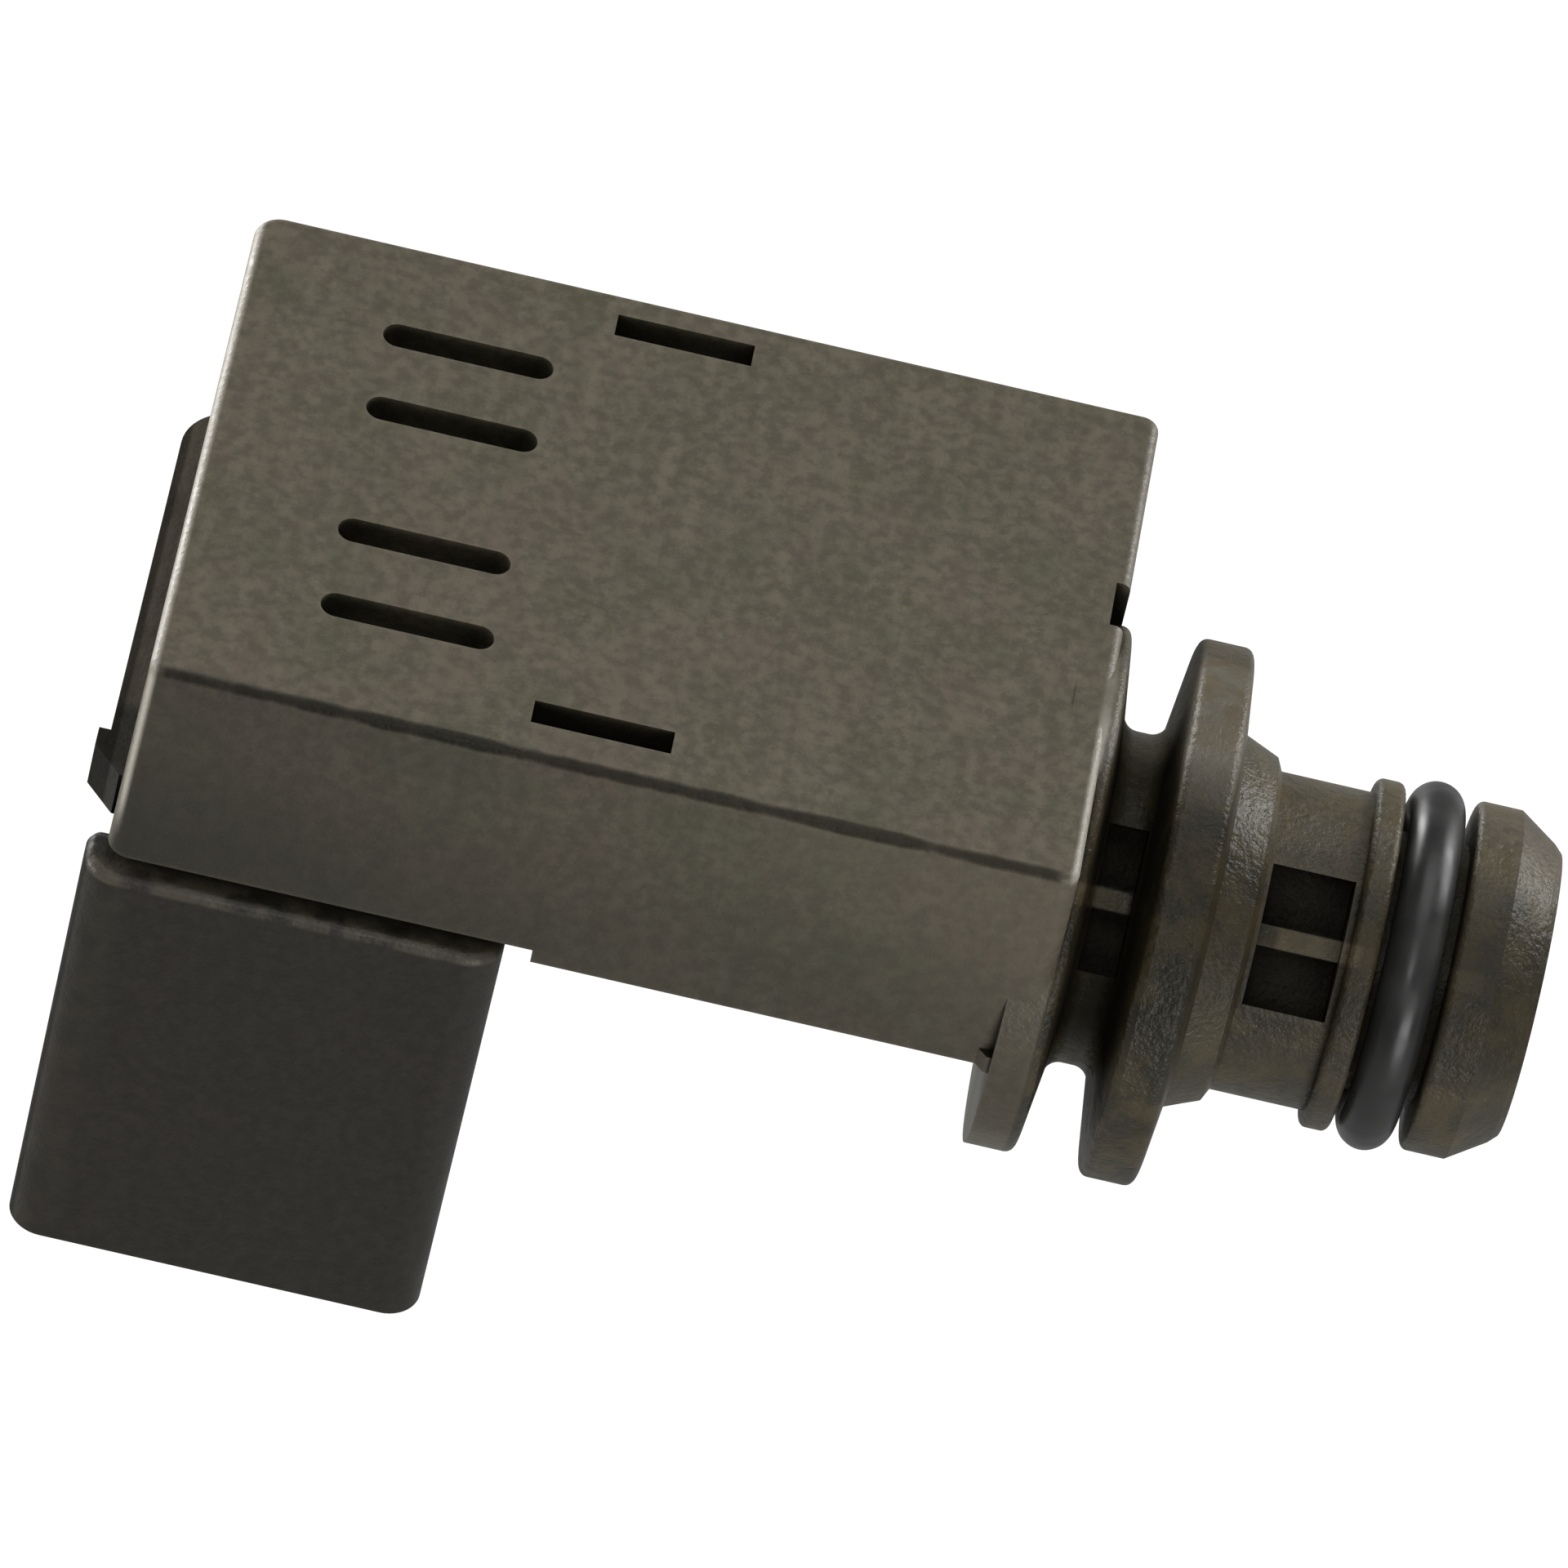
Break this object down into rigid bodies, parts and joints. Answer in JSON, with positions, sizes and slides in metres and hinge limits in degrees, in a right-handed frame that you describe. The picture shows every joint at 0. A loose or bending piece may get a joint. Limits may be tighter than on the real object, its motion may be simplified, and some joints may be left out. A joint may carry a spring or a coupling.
{
  "type": "transmission pressure sensor",
  "caption": "Push-in fluid pressure and temperature sensor: slotted moulded box, flanged O-ring nozzle and an open blade header for a mating plug.",
  "frame": {"origin": "on the nozzle axis, at the outer face of the front flange, where the nozzle stops when pushed in", "axes": "+X along the nozzle axis, out of its tip; +Z out of the box's large slotted face; -Y out of the box's narrow lower face"},
  "size_m": [0.0671, 0.0322, 0.0378],
  "materials": {
    "housing_plastic": "moulded, glass-filled, very light grain",
    "connector_plastic": "moulded, smooth",
    "seal_rubber": "oiled",
    "cell_steel": "turned",
    "board_laminate": "solder mask",
    "chip_plastic": "moulded",
    "terminal_metal": "tin plated",
    "pin_metal": "tinned",
    "capacitor_ceramic": "fired",
    "resistor_ceramic": "fired",
    "bead_epoxy": "dipped"
  },
  "bodies": {
    "root": {"main_housing": "housing_plastic", "connector_body": "connector_plastic", "port_o_ring": "seal_rubber", "cell_seal": "seal_rubber", "pressure_cell": "cell_steel", "cell_retainer": "cell_steel", "circuit_board": "board_laminate", "signal_chip": "chip_plastic", "terminal_1": "terminal_metal", "terminal_2": "terminal_metal", "terminal_3": "terminal_metal", "terminal_4": "terminal_metal", "cell_pin_1": "pin_metal", "cell_pin_2": "pin_metal", "cell_pin_3": "pin_metal", "chip_capacitor_1": "capacitor_ceramic", "chip_capacitor_2": "capacitor_ceramic", "chip_capacitor_3": "capacitor_ceramic", "chip_resistor_1": "resistor_ceramic", "chip_resistor_2": "resistor_ceramic", "thermistor_bead": "bead_epoxy", "thermistor_lead_1": "pin_metal", "thermistor_lead_2": "pin_metal"}
  },
  "joints": []
}
